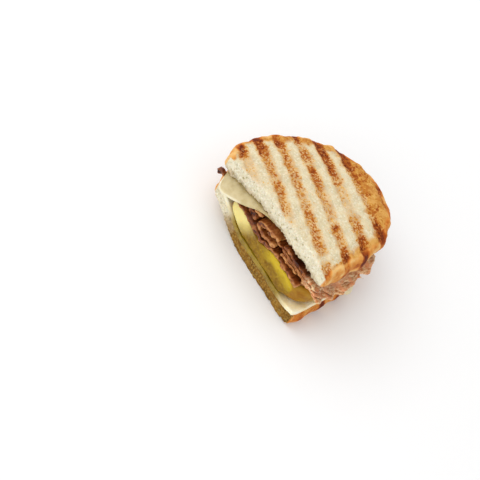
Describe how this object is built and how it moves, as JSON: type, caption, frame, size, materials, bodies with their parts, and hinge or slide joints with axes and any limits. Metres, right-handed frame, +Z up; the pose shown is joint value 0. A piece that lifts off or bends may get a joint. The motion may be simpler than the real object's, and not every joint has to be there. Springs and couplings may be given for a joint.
{
  "type": "panini half",
  "caption": "Half of a grilled steak and egg panini, cut across: two grooved slices of toasted bread, an egg patty, folded shaved steak and melted cheese.",
  "frame": {"origin": "middle of the bounding box's underside, on the surface the sandwich lies on", "axes": "+X along the cut, +Y from the cut towards the far crust, +Z up"},
  "size_m": [0.1148, 0.0924, 0.055],
  "materials": {
    "bread": "dry toasted crust, pale crumb at the cut",
    "cheese": "melted, glossy",
    "egg": "soft and moist",
    "steak": "moist, fibrous"
  },
  "bodies": {
    "root": {"bread_lower": "bread", "cheese_lower": "cheese", "egg": "egg", "steak_1": "steak", "steak_2": "steak", "steak_3": "steak", "steak_4": "steak", "steak_5": "steak", "steak_6": "steak", "steak_7": "steak", "steak_8": "steak", "steak_9": "steak", "steak_10": "steak", "cheese_upper": "cheese", "bread_upper": "bread"}
  },
  "joints": []
}
